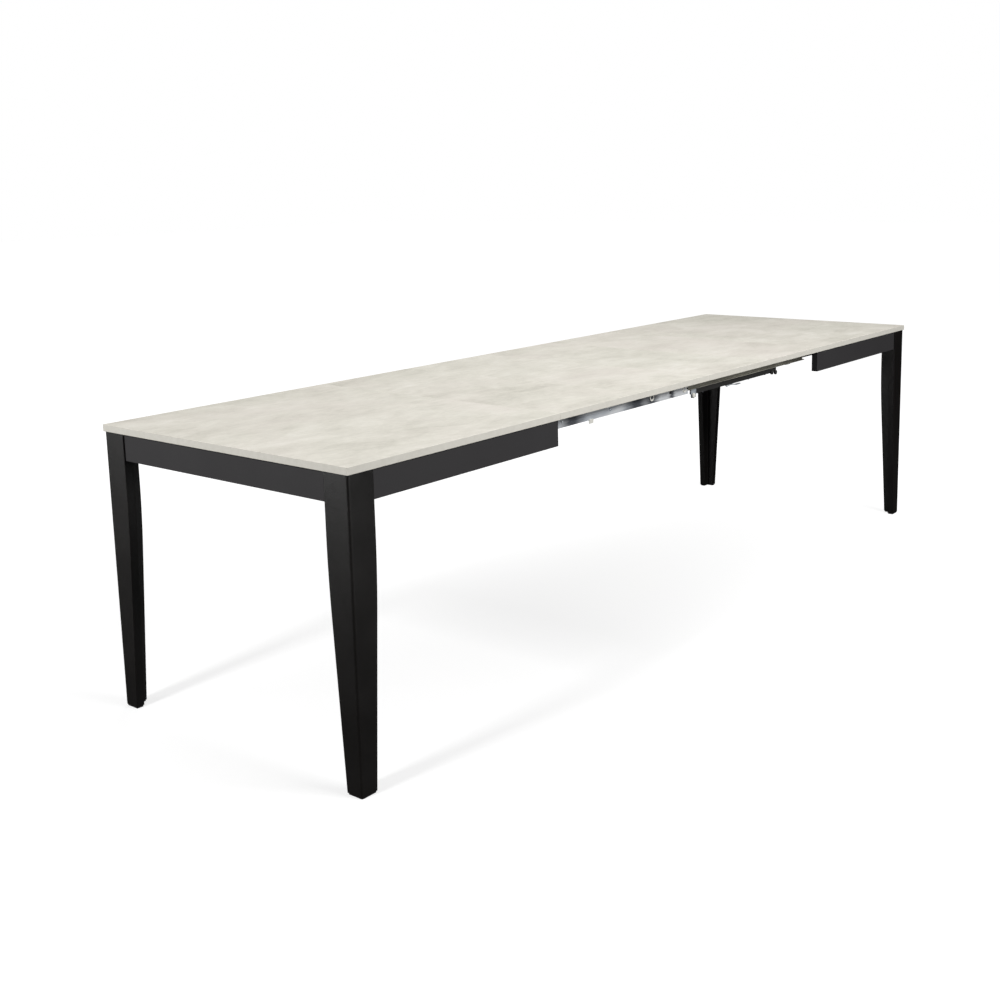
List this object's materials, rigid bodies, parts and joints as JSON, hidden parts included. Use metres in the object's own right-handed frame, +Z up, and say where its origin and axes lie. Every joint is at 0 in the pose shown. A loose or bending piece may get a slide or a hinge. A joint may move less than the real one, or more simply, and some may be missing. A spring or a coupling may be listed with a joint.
{
  "type": "extendable dining table",
  "caption": "Long dining table drawn fully out, with pale concrete-look loose leaves between two half tables on telescopic rails and tapering angle-shaped anthracite legs.",
  "frame": {"origin": "On the floor under the middle of the fully extended table.", "axes": "+X along the length from the near end to the far end, +Y from the front side to the back side, +Z up."},
  "size_m": [3, 0.9, 0.76],
  "materials": {
    "concrete_laminate": "matte",
    "leg_lacquer": "satin",
    "apron_lacquer": "matte",
    "zinc_steel": "satin",
    "anodised_aluminium": "satin",
    "black_steel": "satin",
    "white_nylon": "matte",
    "black_rubber": "matte",
    "black_plastic": "matte"
  },
  "bodies": {
    "near half": {"top_near": "concrete_laminate", "leg_near_front": "leg_lacquer", "glide_near_front": "black_plastic", "corner_bracket_near_front": "zinc_steel", "leg_near_back": "leg_lacquer", "glide_near_back": "black_plastic", "corner_bracket_near_back": "zinc_steel", "apron_near_end": "apron_lacquer", "apron_near_front": "apron_lacquer", "apron_near_back": "apron_lacquer", "rail_near_front": "zinc_steel", "rail_spacer_front": "black_plastic", "rail_clip_front": "white_nylon", "rail_near_back": "zinc_steel", "rail_spacer_back": "black_plastic", "rail_clip_back": "white_nylon"},
    "middle rails": {"rail_middle_front": "anodised_aluminium", "guide_bar_front": "black_steel", "knob_bracket_front": "zinc_steel", "buffer_front_1": "black_rubber", "buffer_front_2": "black_rubber", "rail_middle_back": "anodised_aluminium", "guide_bar_back": "black_steel", "knob_bracket_back": "zinc_steel", "buffer_back_1": "black_rubber", "buffer_back_2": "black_rubber", "crossbar_1": "black_steel", "crossbar_2": "black_steel"},
    "far half": {"top_far": "concrete_laminate", "leg_far_front": "leg_lacquer", "glide_far_front": "black_plastic", "corner_bracket_far_front": "zinc_steel", "leg_far_back": "leg_lacquer", "glide_far_back": "black_plastic", "corner_bracket_far_back": "zinc_steel", "apron_far_end": "apron_lacquer", "apron_far_front": "apron_lacquer", "apron_far_back": "apron_lacquer", "rail_far_front": "anodised_aluminium", "rail_far_back": "anodised_aluminium"},
    "leaf 1": {"leaf_1": "concrete_laminate"},
    "leaf 2": {"leaf_2": "concrete_laminate"},
    "leaf 3": {"leaf_3": "concrete_laminate"},
    "leaf 4": {"leaf_4": "concrete_laminate"},
    "roller near front 1": {"roller_near_front_1": "white_nylon"},
    "roller far front 1": {"roller_far_front_1": "white_nylon"},
    "roller near front 2": {"roller_near_front_2": "white_nylon"},
    "roller far front 2": {"roller_far_front_2": "white_nylon"},
    "roller near back 1": {"roller_near_back_1": "white_nylon"},
    "roller far back 1": {"roller_far_back_1": "white_nylon"},
    "roller near back 2": {"roller_near_back_2": "white_nylon"},
    "roller far back 2": {"roller_far_back_2": "white_nylon"},
    "lock knob front": {"lock_knob_front": "white_nylon"},
    "lock lever front": {"lock_lever_front": "zinc_steel"},
    "lock knob back": {"lock_knob_back": "white_nylon"},
    "lock lever back": {"lock_lever_back": "zinc_steel"}
  },
  "joints": [
    {"name": "middle rails travel", "type": "slide", "parent": "near half", "child": "middle rails", "axis": [1, 0, 0], "range_m": [-0.7495, 0]},
    {"name": "far half travel", "type": "slide", "parent": "middle rails", "child": "far half", "axis": [1, 0, 0], "range_m": [-0.7495, 0]},
    {"name": "leaf 1 lift", "type": "slide", "parent": "middle rails", "child": "leaf 1", "axis": [0, 0, 1], "range_m": [0, 0.45]},
    {"name": "leaf 2 lift", "type": "slide", "parent": "middle rails", "child": "leaf 2", "axis": [0, 0, 1], "range_m": [0, 0.45]},
    {"name": "leaf 3 lift", "type": "slide", "parent": "middle rails", "child": "leaf 3", "axis": [0, 0, 1], "range_m": [0, 0.45]},
    {"name": "leaf 4 lift", "type": "slide", "parent": "middle rails", "child": "leaf 4", "axis": [0, 0, 1], "range_m": [0, 0.45]},
    {"name": "roller near front 1 turn", "type": "hinge", "parent": "near half", "child": "roller near front 1", "pos_m": [-0.09, -0.40825, 0.7272], "axis": [0, 1, 0], "continuous": true},
    {"name": "roller far front 1 turn", "type": "hinge", "parent": "far half", "child": "roller far front 1", "pos_m": [0.09, -0.39575, 0.7272], "axis": [0, 1, 0], "continuous": true},
    {"name": "roller near front 2 turn", "type": "hinge", "parent": "near half", "child": "roller near front 2", "pos_m": [-0.27, -0.40825, 0.7272], "axis": [0, 1, 0], "continuous": true},
    {"name": "roller far front 2 turn", "type": "hinge", "parent": "far half", "child": "roller far front 2", "pos_m": [0.27, -0.39575, 0.7272], "axis": [0, 1, 0], "continuous": true},
    {"name": "roller near back 1 turn", "type": "hinge", "parent": "near half", "child": "roller near back 1", "pos_m": [-0.09, 0.40825, 0.7272], "axis": [0, 1, 0], "continuous": true},
    {"name": "roller far back 1 turn", "type": "hinge", "parent": "far half", "child": "roller far back 1", "pos_m": [0.09, 0.39575, 0.7272], "axis": [0, 1, 0], "continuous": true},
    {"name": "roller near back 2 turn", "type": "hinge", "parent": "near half", "child": "roller near back 2", "pos_m": [-0.27, 0.40825, 0.7272], "axis": [0, 1, 0], "continuous": true},
    {"name": "roller far back 2 turn", "type": "hinge", "parent": "far half", "child": "roller far back 2", "pos_m": [0.27, 0.39575, 0.7272], "axis": [0, 1, 0], "continuous": true},
    {"name": "lock knob front turn", "type": "hinge", "parent": "middle rails", "child": "lock knob front", "pos_m": [-0.03, -0.4126, 0.6979], "axis": [0, 1, 0], "continuous": true},
    {"name": "lock lever front swing", "type": "hinge", "parent": "middle rails", "child": "lock lever front", "pos_m": [0.19, -0.402, 0.6991], "axis": [0, 0, 1], "range_deg": [0, 60]},
    {"name": "lock knob back turn", "type": "hinge", "parent": "middle rails", "child": "lock knob back", "pos_m": [-0.03, 0.4126, 0.6979], "axis": [0, 1, 0], "continuous": true},
    {"name": "lock lever back swing", "type": "hinge", "parent": "middle rails", "child": "lock lever back", "pos_m": [0.19, 0.402, 0.6991], "axis": [0, 0, -1], "range_deg": [0, 60]}
  ],
  "couplings": [
    {"joint": "far half travel", "follows": "middle rails travel", "ratio": 1},
    {"joint": "leaf 1 lift", "follows": "middle rails travel", "ratio": -0.6},
    {"joint": "leaf 2 lift", "follows": "middle rails travel", "ratio": -0.6},
    {"joint": "leaf 3 lift", "follows": "middle rails travel", "ratio": -0.6},
    {"joint": "leaf 4 lift", "follows": "middle rails travel", "ratio": -0.6},
    {"joint": "roller near front 1 turn", "follows": "middle rails travel", "rad_per_m": -129.87},
    {"joint": "roller far front 1 turn", "follows": "middle rails travel", "rad_per_m": 129.87},
    {"joint": "roller near front 2 turn", "follows": "middle rails travel", "rad_per_m": -129.87},
    {"joint": "roller far front 2 turn", "follows": "middle rails travel", "rad_per_m": 129.87},
    {"joint": "roller near back 1 turn", "follows": "middle rails travel", "rad_per_m": -129.87},
    {"joint": "roller far back 1 turn", "follows": "middle rails travel", "rad_per_m": 129.87},
    {"joint": "roller near back 2 turn", "follows": "middle rails travel", "rad_per_m": -129.87},
    {"joint": "roller far back 2 turn", "follows": "middle rails travel", "rad_per_m": 129.87}
  ]
}
